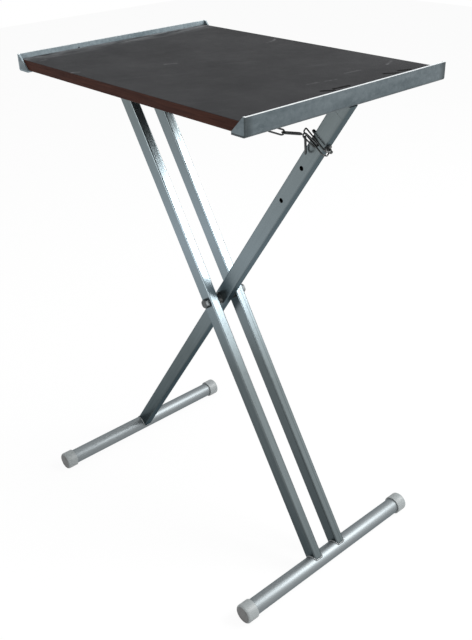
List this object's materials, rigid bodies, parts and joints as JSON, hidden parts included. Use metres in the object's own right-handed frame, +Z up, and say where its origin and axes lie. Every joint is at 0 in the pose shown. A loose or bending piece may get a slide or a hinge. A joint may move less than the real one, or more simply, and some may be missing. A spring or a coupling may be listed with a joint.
{
  "type": "folding typewriter table",
  "caption": "Tall folding typewriter table: a dark film-faced board in angle rails on crossed zinc tube legs with round feet, a lock pin and a safety chain.",
  "frame": {"origin": "on the floor under the middle of the table's overall box", "axes": "+Z up, +X towards the rail that the centre leg meets, +Y to the back along the rails"},
  "size_m": [0.6922, 0.476, 0.992],
  "materials": {
    "film_faced_ply": "satin",
    "galvanised_steel": "satin",
    "zinc_tube": "gloss",
    "zinc_fastener": "satin",
    "dark_steel": "satin",
    "cap_plastic": "matte"
  },
  "bodies": {
    "outer_frame": {"outer_leg_front": "zinc_tube", "outer_leg_back": "zinc_tube", "right_foot_tube": "zinc_tube", "right_foot_cap_front": "cap_plastic", "right_foot_cap_back": "cap_plastic", "pivot_bolt": "zinc_fastener", "pivot_nut": "zinc_fastener", "pivot_washer_front": "zinc_fastener", "pivot_washer_back": "zinc_fastener", "pivot_spacer_front": "dark_steel", "pivot_spacer_back": "dark_steel", "hinge_bolt_front": "zinc_fastener", "hinge_bolt_back": "zinc_fastener", "hinge_nut_front": "zinc_fastener", "hinge_nut_back": "zinc_fastener"},
    "centre_frame": {"centre_leg": "zinc_tube", "left_foot_tube": "zinc_tube", "left_foot_cap_front": "cap_plastic", "left_foot_cap_back": "cap_plastic"},
    "table_top": {"table_board": "film_faced_ply", "left_rail": "galvanised_steel", "right_rail": "galvanised_steel", "left_gusset_front": "galvanised_steel", "left_gusset_back": "galvanised_steel", "right_gusset_front": "galvanised_steel", "right_gusset_back": "galvanised_steel", "left_rail_screw_1": "zinc_fastener", "left_rail_screw_2": "zinc_fastener", "left_rail_screw_3": "zinc_fastener", "left_rail_screw_4": "zinc_fastener", "right_rail_screw_1": "zinc_fastener", "right_rail_screw_2": "zinc_fastener", "right_rail_screw_3": "zinc_fastener", "right_rail_screw_4": "zinc_fastener", "hinge_lug_front": "galvanised_steel", "hinge_lug_back": "galvanised_steel", "leg_seat": "zinc_tube", "chain_eye": "dark_steel"},
    "lock_pin": {"lock_pin": "dark_steel"},
    "lock_bail": {"lock_bail": "dark_steel", "chain_link_5": "dark_steel", "chain_link_6": "dark_steel"},
    "chain": {"chain_link_1": "dark_steel", "chain_link_2": "dark_steel", "chain_link_3": "dark_steel", "chain_link_4": "dark_steel"}
  },
  "joints": [
    {"name": "fold", "type": "hinge", "parent": "outer_frame", "child": "centre_frame", "pos_m": [0.0167, 0, 0.5143], "axis": [0, -1, 0], "range_deg": [0, 56]},
    {"name": "board_tilt", "type": "hinge", "parent": "outer_frame", "child": "table_top", "pos_m": [-0.24441, 0, 0.941], "axis": [0, -1, 0], "range_deg": [0, 34]},
    {"name": "pin_slide", "type": "slide", "parent": "centre_frame", "child": "lock_pin", "axis": [0.8217, 0, -0.5699], "range_m": [0, 0.045]},
    {"name": "bail_swing", "type": "hinge", "parent": "lock_pin", "child": "lock_bail", "pos_m": [0.29808, 0, 0.88142], "axis": [0.5699, 0, 0.8217], "range_deg": [0, 110]},
    {"name": "chain_swing", "type": "hinge", "parent": "table_top", "child": "chain", "pos_m": [0.20236, -0.09805, 0.9475], "axis": [-0.848, 0.5299, 0], "range_deg": [0, 60]}
  ],
  "couplings": [
    {"joint": "board_tilt", "follows": "fold", "ratio": 0.6},
    {"joint": "pin_slide", "follows": "bail_swing", "m_per_rad": 0.0234}
  ]
}
